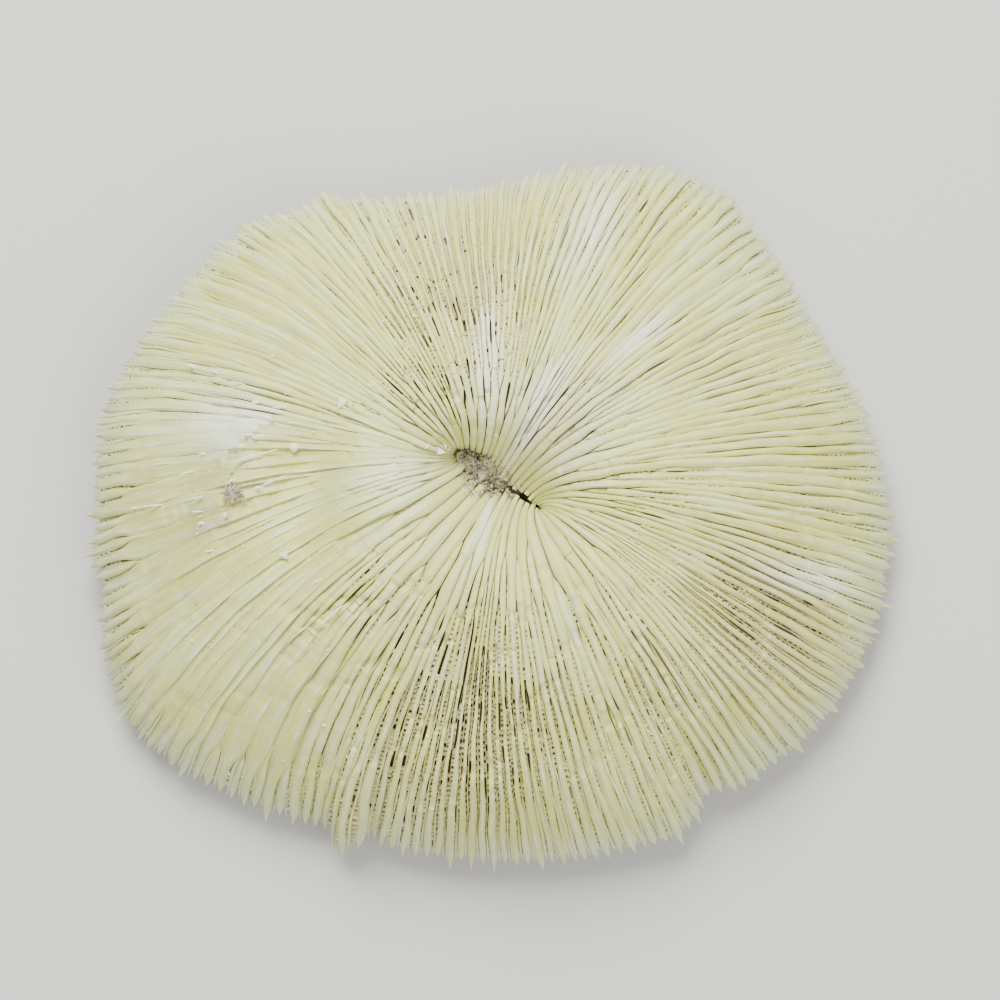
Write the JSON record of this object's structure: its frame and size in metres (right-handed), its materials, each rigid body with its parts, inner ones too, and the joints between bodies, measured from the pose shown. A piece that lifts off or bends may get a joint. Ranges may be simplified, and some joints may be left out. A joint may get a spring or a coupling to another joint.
{
  "type": "mushroom coral skeleton",
  "caption": "Bleached skeleton of a solitary mushroom coral: a low ridged disc with a central fossa and a toothed rim, resting on a flat scar.",
  "frame": {"origin": "on the flat scar under the disc, below the middle of the box around the outline", "axes": "+X along the disc's longest way, to the right in the picture; +Y up in the picture; +Z up out of the ridged face"},
  "size_m": [0.1212, 0.106, 0.0323],
  "materials": {
    "coral_skeleton": "matte"
  },
  "bodies": {
    "root": {"corallum": "coral_skeleton"}
  },
  "joints": []
}
